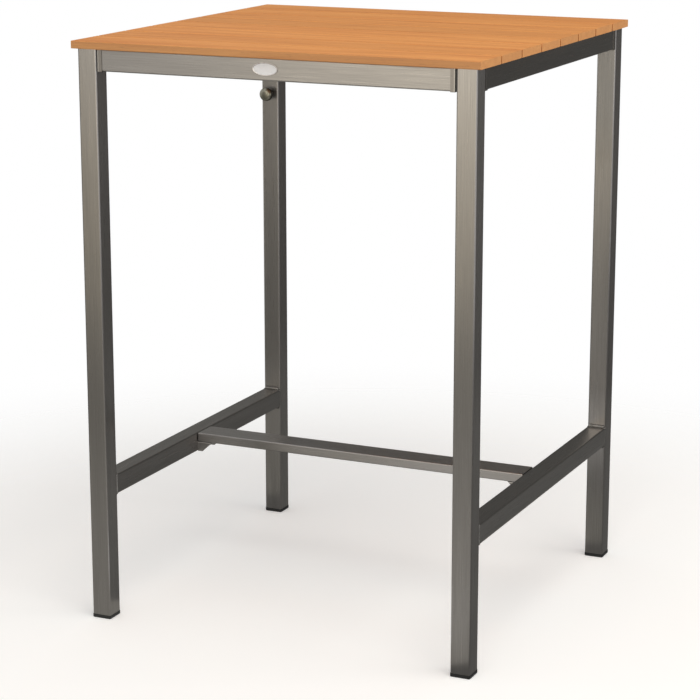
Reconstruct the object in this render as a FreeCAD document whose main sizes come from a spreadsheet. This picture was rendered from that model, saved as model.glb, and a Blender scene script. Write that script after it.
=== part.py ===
import FreeCAD, Part
import os

import Sketcher
from FreeCAD import Placement, Rotation, Vector

# A bar-height table: a slatted wooden top on a bolted frame of square metal tube.
# The origin is on the floor under the middle of the top. +X runs right along the front,
# +Y runs to the back and +Z is up. Lengths are in millimetres.

SIZES = (
    # The top
    ("table_height", 1100, "floor to the upper face of the slats"),
    ("top_length", 792, "length of a slat, left to right"),
    ("top_depth", 792, "front edge to back edge of the slatted top"),
    ("slat_count", 8, "slats from front to back"),
    ("slat_thickness", 14, "thickness of a slat"),
    ("slat_gap", 3.5, "open gap between two slats"),
    ("slat_edge_radius", 1.5, "rounding of the slat's long edges"),
    # The battens under the slats
    ("batten_count", 3, "battens from left to right"),
    ("batten_inset", 86, "middle of the outer battens to the side aprons"),
    ("batten_width", 40, "width of a batten"),
    ("batten_thickness", 18, "height of a batten"),
    ("batten_end_gap", 2, "batten's end to the inner face of the apron"),
    ("batten_chamfer", 2, "chamfer of the batten's lower edges"),
    # The angles between battens and aprons
    ("angle_leg", 20, "each leg of the angle"),
    ("angle_width", 26, "width of the angle"),
    ("angle_sheet", 2.5, "thickness of the angle"),
    # The square tube of the legs and side rails
    ("frame_inset", 8.5, "outer faces of the legs inside the edge of the top"),
    ("tube_size", 38, "side of the square tube"),
    ("tube_wall", 1.5, "wall of the square tube"),
    ("tube_corner", 3, "outer corner radius of the square tube"),
    ("side_rail_height", 240, "floor to the underside of a side rail"),
    ("weld_size", 4, "leg of a fillet weld"),
    # The glides in the legs' feet
    ("glide_height", 7, "height of the glide's pad under the leg"),
    ("glide_overhang", 0.5, "pad beyond the face of the leg"),
    ("glide_chamfer", 1.2, "chamfer round the sole of the pad"),
    ("glide_plug_depth", 24, "depth of the plug in the leg"),
    ("glide_plug_wall", 2.5, "wall of the plug's hollow core"),
    ("glide_fin_reach", 4, "fins beyond the core"),
    ("glide_fin", 1.6, "thickness of a fin"),
    ("glide_fin_count", 3, "fins along the plug"),
    ("glide_clearance", 0.1, "fins to the inside of the tube"),
    # The aprons under the top and their end joints
    ("apron_height", 40, "height of the apron's tube"),
    ("apron_width", 20, "width of the apron's tube"),
    ("apron_wall", 1.5, "wall of the apron's tube"),
    ("apron_corner", 2.5, "outer corner radius of the apron's tube"),
    ("apron_inset", 1.5, "apron's outer face behind the face of the leg"),
    ("window_length", 30, "length of the access window at each end of an apron"),
    ("window_margin", 7, "window to the upper and lower faces of the apron"),
    ("cap_web", 3, "thickness of the end cap's plate"),
    ("cap_sleeve", 5.6, "length of the end cap's sleeve round the apron"),
    ("cap_wall", 0.9, "wall of that sleeve"),
    ("cap_bevel", 0.8, "bevel of the sleeve's lower edges"),
    ("cap_clearance", 0.15, "sleeve to apron, all round"),
    ("cap_seat_gap", 0.4, "apron's end to the end cap's plate"),
    ("spacer_thickness", 2.8, "spacer between end cap and leg"),
    ("spacer_setback", 1.8, "spacer's edge behind the edge of the end cap"),
    # The bolts and nuts of the frame
    ("bolt_diameter", 8, "shank of the bolts"),
    ("bolt_flats", 13, "bolt heads and nuts across their flats"),
    ("bolt_head_height", 5.3, "height of a bolt's head"),
    ("nut_height", 6.5, "height of a nut"),
    ("bolt_tail", 2, "bolt beyond its nut"),
    ("hole_clearance", 0.1, "round a bolt in its hole"),
    ("slot_clearance", 0.4, "round a bolt in a slot"),
    # The crossbar between the side rails
    ("crossbar_width", 56, "crossbar front to back"),
    ("crossbar_height", 18, "crossbar top to bottom"),
    ("crossbar_wall", 1.5, "wall of the crossbar"),
    ("crossbar_corner", 2, "outer corner radius of the crossbar"),
    ("crossbar_end_gap", 1.5, "crossbar's end to the side rail"),
    ("bracket_reach", 32, "length of the bracket under the crossbar"),
    ("bracket_foot", 10, "length of the bracket's lower edge"),
    ("bracket_setback", 1, "bracket's cheek inside the crossbar's edge"),
    ("bracket_sheet", 2.5, "thickness of the bracket's sheet"),
    ("bracket_bolt_inset", 18, "side rail to the bolt of the bracket"),
    # The bag knob on the back left leg
    ("knob_drop", 167, "underside of the top to the middle of the knob"),
    ("knob_diameter", 28, "diameter of the knob's head"),
    ("knob_head_length", 16, "length of the knob's head"),
    ("knob_neck", 14, "diameter of the knob's neck"),
    ("knob_neck_length", 10, "length of the neck"),
    ("knob_face_bevel", 3, "bevel of the head's outer rim"),
    ("knob_back_bevel", 2, "bevel of the head's inner rim"),
)

# Sizes that follow from those above.
LEG_OUTER_X = "(sizes.top_length / 2 - sizes.frame_inset)"
LEG_OUTER_Y = "(sizes.top_depth / 2 - sizes.frame_inset)"
LEG_X = f"({LEG_OUTER_X} - sizes.tube_size / 2)"
LEG_Y = f"({LEG_OUTER_Y} - sizes.tube_size / 2)"
LEG_INNER_X = f"({LEG_OUTER_X} - sizes.tube_size)"
LEG_INNER_Y = f"({LEG_OUTER_Y} - sizes.tube_size)"
FRAME_TOP = "(sizes.table_height - sizes.slat_thickness)"
LEG_LENGTH = f"({FRAME_TOP} - sizes.glide_height)"
KNOB_HEIGHT = f"({FRAME_TOP} - sizes.knob_drop)"
GLIDE_FIN_SIDE = "(sizes.tube_size - 2 * sizes.tube_wall - 2 * sizes.glide_clearance)"
GLIDE_CORE_SIDE = f"({GLIDE_FIN_SIDE} - 2 * sizes.glide_fin_reach)"

APRON_OUT = "(sizes.apron_inset + sizes.apron_width / 2)"
APRON_X = f"({LEG_OUTER_X} - {APRON_OUT})"
APRON_Y = f"({LEG_OUTER_Y} - {APRON_OUT})"
APRON_FACE_X = f"({APRON_X} - sizes.apron_width / 2)"
APRON_FACE_Y = f"({APRON_Y} - sizes.apron_width / 2)"
APRON_BOTTOM = f"({FRAME_TOP} - sizes.apron_height)"
APRON_MIDDLE = f"({FRAME_TOP} - sizes.apron_height / 2)"
APRON_END = "(sizes.spacer_thickness + sizes.cap_web + sizes.cap_seat_gap)"
CAP_HALF_WIDTH = "(sizes.apron_width / 2 + sizes.cap_clearance + sizes.cap_wall)"
CAP_DROP = "(sizes.cap_clearance + sizes.cap_wall)"
JOINT_OFFSET = f"(sizes.tube_size / 2 - {APRON_OUT})"
JOINT_GRIP = "(sizes.cap_web + sizes.spacer_thickness)"
BOLT_HOLE = "(sizes.bolt_diameter / 2 + sizes.hole_clearance)"
SLOT = "(sizes.bolt_diameter / 2 + sizes.slot_clearance)"

SLAT_WIDTH = "((sizes.top_depth - (sizes.slat_count - 1) * sizes.slat_gap) / sizes.slat_count)"
SLAT_PITCH = f"({SLAT_WIDTH} + sizes.slat_gap)"
FIRST_SLAT_Y = f"(({SLAT_WIDTH} - sizes.top_depth) / 2)"
BATTEN_X = f"({APRON_FACE_X} - sizes.batten_inset)"
BATTEN_STEP = f"(2 * {BATTEN_X} / (sizes.batten_count - 1))"
BATTEN_BOTTOM = f"({FRAME_TOP} - sizes.batten_thickness)"

SIDE_RAIL_TOP = "(sizes.side_rail_height + sizes.tube_size)"
CROSSBAR_BOTTOM = f"({SIDE_RAIL_TOP} - sizes.crossbar_height)"
CROSSBAR_LENGTH = f"(2 * ({LEG_INNER_X} - sizes.crossbar_end_gap))"
BRACKET_BOLT_X = f"({LEG_INNER_X} - sizes.bracket_bolt_inset)"
BRACKET_DROP = "(sizes.tube_size - sizes.crossbar_height)"
BRACKET_WIDTH = "(sizes.crossbar_width - 2 * sizes.bracket_setback)"

# The four corners, each with the turn that takes the front left leg there.
CORNERS = (
    ("front_left", -1, -1, 0),
    ("front_right", 1, -1, 90),
    ("back_right", 1, 1, 180),
    ("back_left", -1, 1, 270),
)

# The four aprons: name, outward direction, direction along it, turn from the front one,
# and the names of its two ends.
SIDES = (
    ("front", (0, -1), (1, 0), 0, ("left", "right")),
    ("right", (1, 0), (0, 1), 90, ("front", "back")),
    ("back", (0, 1), (-1, 0), 180, ("right", "left")),
    ("left", (-1, 0), (0, -1), 270, ("back", "front")),
)

# Two apron joints that mirror into all eight. Each is a plane whose normal points from the
# apron into the leg, the joint's place across that plane, and the leg's face along the normal.
JOINTS = (
    ("YZ_Plane", f"-{APRON_Y}", LEG_INNER_X),
    ("XZ_Plane", APRON_X, LEG_INNER_Y),
)

DOC = FreeCAD.newDocument("pub_table")
SHEET = DOC.addObject("Spreadsheet::Sheet", "sizes")
SUBPARTS = []


def fill_sheet():
    """Write each driving size in its own cell, with its name as the cell's alias."""
    for row, (name, value, meaning) in enumerate(SIZES, start=1):
        SHEET.set(f"A{row}", name)
        SHEET.set(f"B{row}", str(value))
        SHEET.set(f"C{row}", meaning)
        SHEET.setAlias(f"B{row}", name)
    DOC.recompute()


def number(expression):
    """The present value of an expression over the sheet."""
    return float(SHEET.evalExpression(expression))


def copies(name):
    """The present value of a whole number in the sheet."""
    return round(number(f"sizes.{name}"))


# ---------------------------------------------------------------- bodies and sketches


def new_body(label):
    """An empty body that becomes the sub-part of that name."""
    body = DOC.addObject("PartDesign::Body", label)
    body.Label = label
    SUBPARTS.append(body)
    return body


def place(body, x="0", y="0", z="0", turn=0):
    """Turn a body about Z and tie its position to the sheet."""
    body.Placement = Placement(Vector(), Rotation(Vector(0, 0, 1), turn))
    for axis, expression in zip("xyz", (x, y, z)):
        body.setExpression(f"Placement.Base.{axis}", expression)


def origin_feature(body, role):
    return [item for item in body.Origin.OriginFeatures if item.Role == role][0]


def sketch_on(body, role, x="0", y="0", z="0"):
    """A sketch on one of the body's own planes, moved by expressions in the plane's axes."""
    sketch = body.newObject("Sketcher::SketchObject", f"{body.Name}_sketch")
    sketch.AttachmentSupport = [(origin_feature(body, role), "")]
    sketch.MapMode = "FlatFace"
    for axis, expression in zip("xyz", (x, y, z)):
        sketch.setExpression(f"AttachmentOffset.Base.{axis}", expression)
    return sketch


def fix(sketch, constraint, expression):
    """Add a driving constraint whose value is an expression over the sheet."""
    index = sketch.addConstraint(constraint)
    sketch.setExpression(f"Constraints[{index}]", expression)


def pin(sketch, geometry, vertex, x, y):
    """Hold one vertex at (x, y) from the sketch's origin."""
    for kind, axis_line, expression in (("DistanceX", -2, x), ("DistanceY", -1, y)):
        value = number(expression)
        if expression == "0":
            sketch.addConstraint(Sketcher.Constraint("PointOnObject", geometry, vertex, axis_line))
        elif value > 0:
            fix(sketch, Sketcher.Constraint(kind, -1, 1, geometry, vertex, value), expression)
        else:
            fix(sketch, Sketcher.Constraint(kind, geometry, vertex, -1, 1, -value), f"-({expression})")


def polygon(sketch, corners):
    """A closed outline through the corners, each a pair of expressions."""
    points = [Vector(number(x), number(y), 0) for x, y in corners]
    first = sketch.GeometryCount
    total = len(points)
    for index in range(total):
        sketch.addGeometry(Part.LineSegment(points[index], points[(index + 1) % total]), False)
    for index, (x, y) in enumerate(corners):
        before = first + (index - 1) % total
        sketch.addConstraint(Sketcher.Constraint("Coincident", before, 2, first + index, 1))
        pin(sketch, first + index, 1, x, y)


def rectangle(sketch, half_across, low, high):
    """A rectangle centred across the sketch's vertical axis."""
    polygon(sketch, ((f"-({half_across})", low), (half_across, low),
                     (half_across, high), (f"-({half_across})", high)))


def square(sketch, side):
    rectangle(sketch, f"{side} / 2", f"-({side} / 2)", f"{side} / 2")


def circle(sketch, x, y, radius):
    centre = Vector(number(x), number(y), 0)
    geometry = sketch.addGeometry(Part.Circle(centre, Vector(0, 0, 1), number(radius)), False)
    pin(sketch, geometry, 3, x, y)
    fix(sketch, Sketcher.Constraint("Radius", geometry, number(radius)), radius)


def hexagon(sketch):
    """The outline of a bolt head or nut round the sketch's origin, with its points up and down."""
    flat = "(sizes.bolt_flats / 2)"
    point = "(sizes.bolt_flats / sqrt(3))"
    polygon(sketch, (("0", point), (f"-{flat}", f"{point} / 2"), (f"-{flat}", f"-({point} / 2)"),
                     ("0", f"-{point}"), (flat, f"-({point} / 2)"), (flat, f"{point} / 2")))


# ---------------------------------------------------------------- features


def pad(body, sketch, length, symmetric=False, reverse=False):
    """Extrude a sketch along its normal, or against it."""
    feature = body.newObject("PartDesign::Pad", f"{body.Name}_pad")
    feature.Profile = (sketch, [""])
    feature.SideType = "Symmetric" if symmetric else "One side"
    feature.Reversed = reverse
    feature.setExpression("Length", length)
    DOC.recompute()
    return feature


def pocket(body, sketch, depth, symmetric=False, forward=False):
    """Cut a sketch to a depth, against its normal or forward along it, and check the cut."""
    before = body.Shape.Volume
    feature = body.newObject("PartDesign::Pocket", f"{body.Name}_pocket")
    feature.Profile = (sketch, [""])
    feature.SideType = "Symmetric" if symmetric else "One side"
    feature.Reversed = forward
    feature.setExpression("Length", depth)
    DOC.recompute()
    if body.Shape.Volume >= before:
        raise RuntimeError(f"{feature.Name} cuts nothing")
    return feature


def revolve(body, sketch):
    """Turn a sketch once round its own horizontal axis."""
    feature = body.newObject("PartDesign::Revolution", f"{body.Name}_revolution")
    feature.Profile = (sketch, [""])
    feature.ReferenceAxis = (sketch, ["H_Axis"])
    feature.Angle = 360
    DOC.recompute()
    return feature


def dress_edges(body, feature, kind, size, chosen):
    """Put a Fillet or a Chamfer on the edges of a feature that a test picks."""
    names = [f"Edge{index}" for index, edge in enumerate(feature.Shape.Edges, start=1) if chosen(edge)]
    dressing = body.newObject(f"PartDesign::{kind}", f"{body.Name}_{kind.lower()}")
    dressing.Base = (feature, names)
    dressing.setExpression("Radius" if kind == "Fillet" else "Size", size)
    DOC.recompute()
    return dressing


def runs_along(axis, below=None):
    """A test for straight edges along X, Y or Z (0, 1 or 2), if asked only those below a height."""
    def test(edge):
        box = edge.BoundBox
        spans = (box.XLength, box.YLength, box.ZLength)
        straight = spans[axis] > 1e-3 and sum(spans) - spans[axis] < 1e-6
        return straight and (below is None or box.ZMax < below)
    return test


def repeat(body, features, rows=(), mirrors=()):
    """Copy features along rows, given as (axis, length, count), and across planes."""
    multi = body.newObject("PartDesign::MultiTransform", f"{body.Name}_copies")
    multi.Originals = list(features)
    moves = []
    for axis, length, number_of_copies in rows:
        row = DOC.addObject("PartDesign::LinearPattern", f"{body.Name}_row")
        body.addObject(row)
        row.Direction = (origin_feature(body, f"{axis}_Axis"), [""])
        row.setExpression("Length", length)
        row.setExpression("Occurrences", number_of_copies)
        moves.append(row)
    for role in mirrors:
        mirror = DOC.addObject("PartDesign::Mirrored", f"{body.Name}_mirror")
        body.addObject(mirror)
        mirror.MirrorPlane = (origin_feature(body, role), [""])
        moves.append(mirror)
    multi.Transformations = moves
    body.Tip = multi
    DOC.recompute()


def tube(body, role, across, up, corner, wall, length):
    """A rectangular tube with rounded corners, centred on its sketch and along its length."""
    outer = sketch_on(body, role)
    rectangle(outer, f"{across} / 2", f"-({up} / 2)", f"{up} / 2")
    bar = pad(body, outer, length, symmetric=True)
    axis = {"YZ_Plane": 0, "XZ_Plane": 1, "XY_Plane": 2}[role]
    dress_edges(body, bar, "Fillet", corner, runs_along(axis))
    inner = sketch_on(body, role)
    rectangle(inner, f"({across} / 2 - {wall})", f"-({up} / 2 - {wall})", f"({up} / 2 - {wall})")
    pocket(body, inner, f"{length} + 2 * {wall}", symmetric=True)


# ---------------------------------------------------------------- bolts and weld nuts


def bolt(body, role, x, y, seat, reach):
    """A hexagon bolt along a plane's normal, with its head seated at one distance along it."""
    head = sketch_on(body, role, x, y, f"{seat} - sizes.bolt_head_height")
    hexagon(head)
    shank = sketch_on(body, role, x, y, seat)
    circle(shank, "0", "0", "sizes.bolt_diameter / 2")
    return [pad(body, head, "sizes.bolt_head_height"), pad(body, shank, reach)]


def weld_nut(body, role, x, y, face, wall, inward):
    """A nut welded inside a tube's wall, with its bore cut through that wall from outside.
    The tube's hollow lies along the plane's normal where inward is 1, and against it at -1."""
    outline = sketch_on(body, role, x, y, f"{face} + {inward} * {wall}")
    hexagon(outline)
    block = pad(body, outline, "sizes.nut_height", reverse=inward < 0)
    bore = sketch_on(body, role, x, y, face)
    circle(bore, "0", "0", BOLT_HOLE)
    hole = pocket(body, bore, f"{wall} + sizes.nut_height + sizes.bolt_tail", forward=inward > 0)
    return [block, hole]


def make_apron_bolts():
    """The bolt of each of the eight apron joints, from inside the apron into the leg."""
    body = new_body("apron_bolts")
    reach = f"{JOINT_GRIP} + sizes.tube_wall + sizes.nut_height + sizes.bolt_tail"
    features = []
    for role, across, face in JOINTS:
        features += bolt(body, role, across, APRON_MIDDLE, f"({face} - {JOINT_GRIP})", reach)
    repeat(body, features, mirrors=["YZ_Plane", "XZ_Plane"])


def make_crossbar_bolts():
    """The bolt up through each bracket into the crossbar."""
    body = new_body("crossbar_bolts")
    reach = "sizes.bracket_sheet + sizes.crossbar_wall + sizes.nut_height + sizes.bolt_tail"
    features = bolt(body, "XY_Plane", f"-{BRACKET_BOLT_X}", "0",
                    f"({CROSSBAR_BOTTOM} - sizes.bracket_sheet)", reach)
    repeat(body, features, mirrors=["YZ_Plane"])


# ---------------------------------------------------------------- the legs and their feet


def make_leg(corner, x_side, y_side, turn):
    """A leg: square tube with a bolt hole and a weld nut towards each of its two aprons."""
    body = new_body(f"leg_{corner}")
    tube(body, "XY_Plane", "sizes.tube_size", "sizes.tube_size", "sizes.tube_corner",
         "sizes.tube_wall", LEG_LENGTH)
    middle = f"(sizes.glide_height + {LEG_LENGTH} / 2)"
    half_tube = "sizes.tube_size / 2"
    bolt_height = f"({APRON_MIDDLE} - {middle})"
    weld_nut(body, "YZ_Plane", f"-{JOINT_OFFSET}", bolt_height, half_tube, "sizes.tube_wall", -1)
    weld_nut(body, "XZ_Plane", f"-{JOINT_OFFSET}", bolt_height, f"-{half_tube}", "sizes.tube_wall", 1)
    if corner == "back_left":
        weld_nut(body, "YZ_Plane", "0", f"({KNOB_HEIGHT} - {middle})", half_tube, "sizes.tube_wall", -1)
    place(body, f"{x_side} * {LEG_X}", f"{y_side} * {LEG_Y}", middle, turn)


def make_glide(corner, x_side, y_side):
    """A glide: a pad under the leg on a finned, hollow plug inside it."""
    body = new_body(f"glide_{corner}")
    outline = sketch_on(body, "XY_Plane")
    square(outline, "(sizes.tube_size + 2 * sizes.glide_overhang)")
    sole = pad(body, outline, "sizes.glide_height")
    rounded = dress_edges(body, sole, "Fillet", "sizes.tube_corner", runs_along(2))
    dress_edges(body, rounded, "Chamfer", "sizes.glide_chamfer", lambda edge: edge.BoundBox.ZMax < 1e-6)
    core = sketch_on(body, "XY_Plane", z="sizes.glide_height")
    square(core, GLIDE_CORE_SIDE)
    pad(body, core, "sizes.glide_plug_depth")
    fin = sketch_on(body, "XY_Plane", z="sizes.glide_height + sizes.glide_fin")
    square(fin, GLIDE_FIN_SIDE)
    first_fin = pad(body, fin, "sizes.glide_fin")
    repeat(body, [first_fin], [("Z", "sizes.glide_plug_depth - 3 * sizes.glide_fin", "sizes.glide_fin_count")])
    hollow = sketch_on(body, "XY_Plane", z="sizes.glide_height")
    square(hollow, f"({GLIDE_CORE_SIDE} - 2 * sizes.glide_plug_wall)")
    pocket(body, hollow, "2 * sizes.glide_plug_depth", forward=True)
    place(body, f"{x_side} * {LEG_X}", f"{y_side} * {LEG_Y}")


# ---------------------------------------------------------------- the side rails


def make_side_rail(side, x_side):
    """The low square rail between a front and a back leg."""
    body = new_body(f"side_rail_{side}")
    tube(body, "XZ_Plane", "sizes.tube_size", "sizes.tube_size", "sizes.tube_corner",
         "sizes.tube_wall", f"(2 * {LEG_INNER_Y})")
    place(body, f"{x_side} * {LEG_X}", z="sizes.side_rail_height + sizes.tube_size / 2")


def make_rail_welds(side, x_side):
    """Slightly crowned fillet welds above and below each end of a side rail."""
    body = new_body(f"rail_welds_{side}")
    beads = []
    for face, up in ((SIDE_RAIL_TOP, 1), ("sizes.side_rail_height", -1)):
        sketch = sketch_on(body, "YZ_Plane", x=LEG_INNER_Y, y=face)
        run = "-sizes.weld_size"
        rise = f"{up} * sizes.weld_size"
        polygon(sketch, (("0", "0"), ("0", rise), (f"0.6 * {run}", f"0.6 * {rise}"), (run, "0")))
        beads.append(pad(body, sketch, "sizes.tube_size - 2 * sizes.tube_corner", symmetric=True))
    repeat(body, beads, mirrors=["XZ_Plane"])
    place(body, f"{x_side} * {LEG_X}")


# ---------------------------------------------------------------- the aprons


def make_apron(side, outward, turn):
    """An apron: rectangular tube with an access window at each end of its inner wall."""
    body = new_body(f"apron_{side}")
    inner = LEG_INNER_X if side in ("front", "back") else LEG_INNER_Y
    half_length = f"({inner} - {APRON_END})"
    tube(body, "YZ_Plane", "sizes.apron_width", "sizes.apron_height", "sizes.apron_corner",
         "sizes.apron_wall", f"(2 * {half_length})")
    window = sketch_on(body, "XZ_Plane", z="-sizes.apron_width / 2")
    far = f"({half_length} - sizes.cap_sleeve)"
    near = f"({far} - sizes.window_length)"
    half_height = "(sizes.apron_height / 2 - sizes.window_margin)"
    polygon(window, ((near, f"-{half_height}"), (far, f"-{half_height}"), (far, half_height),
                     (near, half_height)))
    opening = pocket(body, window, "2 * sizes.apron_wall", forward=True)
    repeat(body, [opening], mirrors=["YZ_Plane"])
    place(body, f"{outward[0]} * {APRON_X}", f"{outward[1]} * {APRON_Y}", APRON_MIDDLE, turn)


def make_apron_cap(side, outward, along, turn, end, direction):
    """An end cap: a plate with an open-topped sleeve that the apron's end sits in. The plate's
    slot lets the apron drop over a bolt that is already started in the leg."""
    body = new_body(f"apron_cap_{side}_{end}")
    length = "(sizes.cap_web + sizes.cap_sleeve)"
    outline = sketch_on(body, "YZ_Plane")
    rectangle(outline, CAP_HALF_WIDTH, f"-{CAP_DROP}", "sizes.apron_height")
    block = pad(body, outline, length, reverse=True)
    dress_edges(body, block, "Chamfer", "sizes.cap_bevel", runs_along(0, below=0))
    seat = sketch_on(body, "YZ_Plane", z=f"-{length}")
    rectangle(seat, "(sizes.apron_width / 2 + sizes.cap_clearance)", "-sizes.cap_clearance",
              "sizes.apron_height + sizes.cap_wall")
    pocket(body, seat, "sizes.cap_sleeve", forward=True)
    slot = sketch_on(body, "YZ_Plane")
    rectangle(slot, SLOT, f"(sizes.apron_height / 2 - {SLOT})", "sizes.apron_height + sizes.cap_wall")
    pocket(body, slot, "2 * sizes.cap_web")
    inner = LEG_INNER_X if side in ("front", "back") else LEG_INNER_Y
    reach = f"{direction} * ({inner} - sizes.spacer_thickness)"
    place(body, f"{outward[0]} * {APRON_X} + {along[0]} * {reach}",
          f"{outward[1]} * {APRON_Y} + {along[1]} * {reach}",
          APRON_BOTTOM, turn if direction > 0 else turn + 180)


def make_joint_spacers():
    """A thin plate between each end cap and its leg, slotted from above round the bolt."""
    body = new_body("joint_spacers")
    edge = f"({CAP_HALF_WIDTH} - sizes.spacer_setback)"
    bottom = f"-(sizes.apron_height / 2 + {CAP_DROP} - sizes.spacer_setback)"
    top = "(sizes.apron_height / 2 - sizes.spacer_setback)"
    plates = []
    for role, across, face in JOINTS:
        sketch = sketch_on(body, role, across, APRON_MIDDLE, f"({face} - sizes.spacer_thickness)")
        polygon(sketch, ((f"-{edge}", bottom), (edge, bottom), (edge, top), (SLOT, top),
                         (SLOT, f"-{SLOT}"), (f"-{SLOT}", f"-{SLOT}"), (f"-{SLOT}", top), (f"-{edge}", top)))
        plates.append(pad(body, sketch, "sizes.spacer_thickness"))
    repeat(body, plates, mirrors=["YZ_Plane", "XZ_Plane"])


# ---------------------------------------------------------------- the crossbar


def make_crossbar():
    """The flat tube between the side rails, with a bolt hole and a weld nut at each end."""
    body = new_body("crossbar")
    tube(body, "YZ_Plane", "sizes.crossbar_width", "sizes.crossbar_height", "sizes.crossbar_corner",
         "sizes.crossbar_wall", CROSSBAR_LENGTH)
    features = weld_nut(body, "XY_Plane", BRACKET_BOLT_X, "0", "-sizes.crossbar_height / 2",
                        "sizes.crossbar_wall", 1)
    repeat(body, features, mirrors=["YZ_Plane"])
    place(body, z=f"{CROSSBAR_BOTTOM} + sizes.crossbar_height / 2")


def make_crossbar_bracket(side, x_side):
    """A pressed bracket with sloped cheeks, under the crossbar and against the side rail."""
    body = new_body(f"crossbar_bracket_{side}")
    profile = sketch_on(body, "XZ_Plane")
    polygon(profile, (("0", "0"), ("sizes.bracket_reach", "0"),
                      ("sizes.bracket_foot", f"-{BRACKET_DROP}"), ("0", f"-{BRACKET_DROP}")))
    block = pad(body, profile, BRACKET_WIDTH, symmetric=True)
    dress_edges(body, block, "Fillet", "sizes.bracket_sheet",
                lambda edge: runs_along(0)(edge) and edge.BoundBox.ZMin > -1e-6)
    sheet = "sizes.bracket_sheet"
    beyond = "2 * sizes.bracket_reach"
    below = f"-2 * {BRACKET_DROP}"
    inside = sketch_on(body, "XZ_Plane")
    polygon(inside, ((sheet, f"-{sheet}"), (beyond, f"-{sheet}"), (beyond, below), (sheet, below)))
    pocket(body, inside, f"{BRACKET_WIDTH} - 2 * {sheet}", symmetric=True)
    hole = sketch_on(body, "XY_Plane")
    circle(hole, "sizes.bracket_bolt_inset", "0", BOLT_HOLE)
    pocket(body, hole, "2 * sizes.bracket_sheet")
    place(body, f"{x_side} * {LEG_INNER_X}", z=CROSSBAR_BOTTOM, turn=0 if x_side < 0 else 180)


# ---------------------------------------------------------------- the top


def make_slat(index):
    """A slat with rounded long edges."""
    body = new_body(f"slat_{index + 1}")
    outline = sketch_on(body, "YZ_Plane")
    rectangle(outline, f"({SLAT_WIDTH} / 2)", "0", "sizes.slat_thickness")
    board = pad(body, outline, "sizes.top_length", symmetric=True)
    dress_edges(body, board, "Fillet", "sizes.slat_edge_radius", runs_along(0))
    place(body, y=f"{FIRST_SLAT_Y} + {index} * {SLAT_PITCH}", z=FRAME_TOP)


def make_batten(index):
    """A batten under the slats, from the front apron to the back one."""
    body = new_body(f"batten_{index + 1}")
    outline = sketch_on(body, "XZ_Plane")
    rectangle(outline, "sizes.batten_width / 2", "0", "sizes.batten_thickness")
    board = pad(body, outline, f"2 * ({APRON_FACE_Y} - sizes.batten_end_gap)", symmetric=True)
    dress_edges(body, board, "Chamfer", "sizes.batten_chamfer", runs_along(1, below=1e-6))
    place(body, f"{index} * {BATTEN_STEP} - {BATTEN_X}", z=BATTEN_BOTTOM)


def make_top_angles():
    """Angles that tie each end of each batten to the front and back aprons."""
    body = new_body("top_angles")
    leg = "sizes.angle_leg"
    sheet = "sizes.angle_sheet"
    profile = sketch_on(body, "YZ_Plane", f"-{APRON_FACE_Y}", BATTEN_BOTTOM, f"-{BATTEN_X}")
    polygon(profile, (("0", "0"), ("0", f"-{leg}"), (sheet, f"-{leg}"), (sheet, f"-{sheet}"),
                      (leg, f"-{sheet}"), (leg, "0")))
    angle = pad(body, profile, "sizes.angle_width", symmetric=True)
    repeat(body, [angle], [("X", f"2 * {BATTEN_X}", "sizes.batten_count")], ["XZ_Plane"])


# ---------------------------------------------------------------- the bag knob


def make_bag_knob():
    """A round knob with its own threaded stud, on the front face of the back left leg."""
    body = new_body("bag_knob")
    stud_end = "-(sizes.tube_wall + sizes.nut_height + sizes.bolt_tail)"
    stud = "sizes.bolt_diameter / 2"
    neck = "sizes.knob_neck / 2"
    rim = "sizes.knob_diameter / 2"
    back = "sizes.knob_neck_length"
    face = f"({back} + sizes.knob_head_length)"
    profile = sketch_on(body, "XY_Plane")
    polygon(profile, ((stud_end, "0"), (face, "0"), (face, f"({rim} - sizes.knob_face_bevel)"),
                      (f"({face} - sizes.knob_face_bevel)", rim), (f"({back} + sizes.knob_back_bevel)", rim),
                      (back, f"({rim} - sizes.knob_back_bevel)"), (back, neck), ("0", neck),
                      ("0", stud), (stud_end, stud)))
    revolve(body, profile)
    place(body, f"-{LEG_X}", LEG_INNER_Y, KNOB_HEIGHT, 270)


# ---------------------------------------------------------------- the whole table


def check_model():
    """Recompute, and stop if any object failed or any sub-part isn't a valid solid."""
    DOC.recompute()
    for item in DOC.Objects:
        if "Invalid" in item.State or "Error" in item.State:
            raise RuntimeError(f"{item.Name} failed: {item.State}")
    for body in SUBPARTS:
        shape = body.Shape
        if shape.isNull() or not shape.isValid() or not shape.Solids:
            raise RuntimeError(f"{body.Label} has no valid solid")


def write_parts():
    """Write each sub-part to a file of its own."""
    os.makedirs("parts", exist_ok=True)
    for body in SUBPARTS:
        body.Shape.exportStep(f"parts/{body.Label}.step")
        print(body.Label, len(body.Shape.Solids), round(body.Shape.Volume))


def main():
    fill_sheet()
    for corner, x_side, y_side, turn in CORNERS:
        make_leg(corner, x_side, y_side, turn)
        make_glide(corner, x_side, y_side)
    for side, x_side in (("left", -1), ("right", 1)):
        make_side_rail(side, x_side)
        make_rail_welds(side, x_side)
        make_crossbar_bracket(side, x_side)
    make_crossbar()
    make_crossbar_bolts()
    for side, outward, along, turn, ends in SIDES:
        make_apron(side, outward, turn)
        for end, direction in zip(ends, (-1, 1)):
            make_apron_cap(side, outward, along, turn, end, direction)
    make_joint_spacers()
    make_apron_bolts()
    for index in range(copies("slat_count")):
        make_slat(index)
    for index in range(copies("batten_count")):
        make_batten(index)
    make_top_angles()
    make_bag_knob()
    check_model()
    write_parts()


main()
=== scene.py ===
import math

import bmesh
import bpy
from bpy.props import FloatProperty, FloatVectorProperty, PointerProperty
from mathutils import Matrix, Vector


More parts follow.
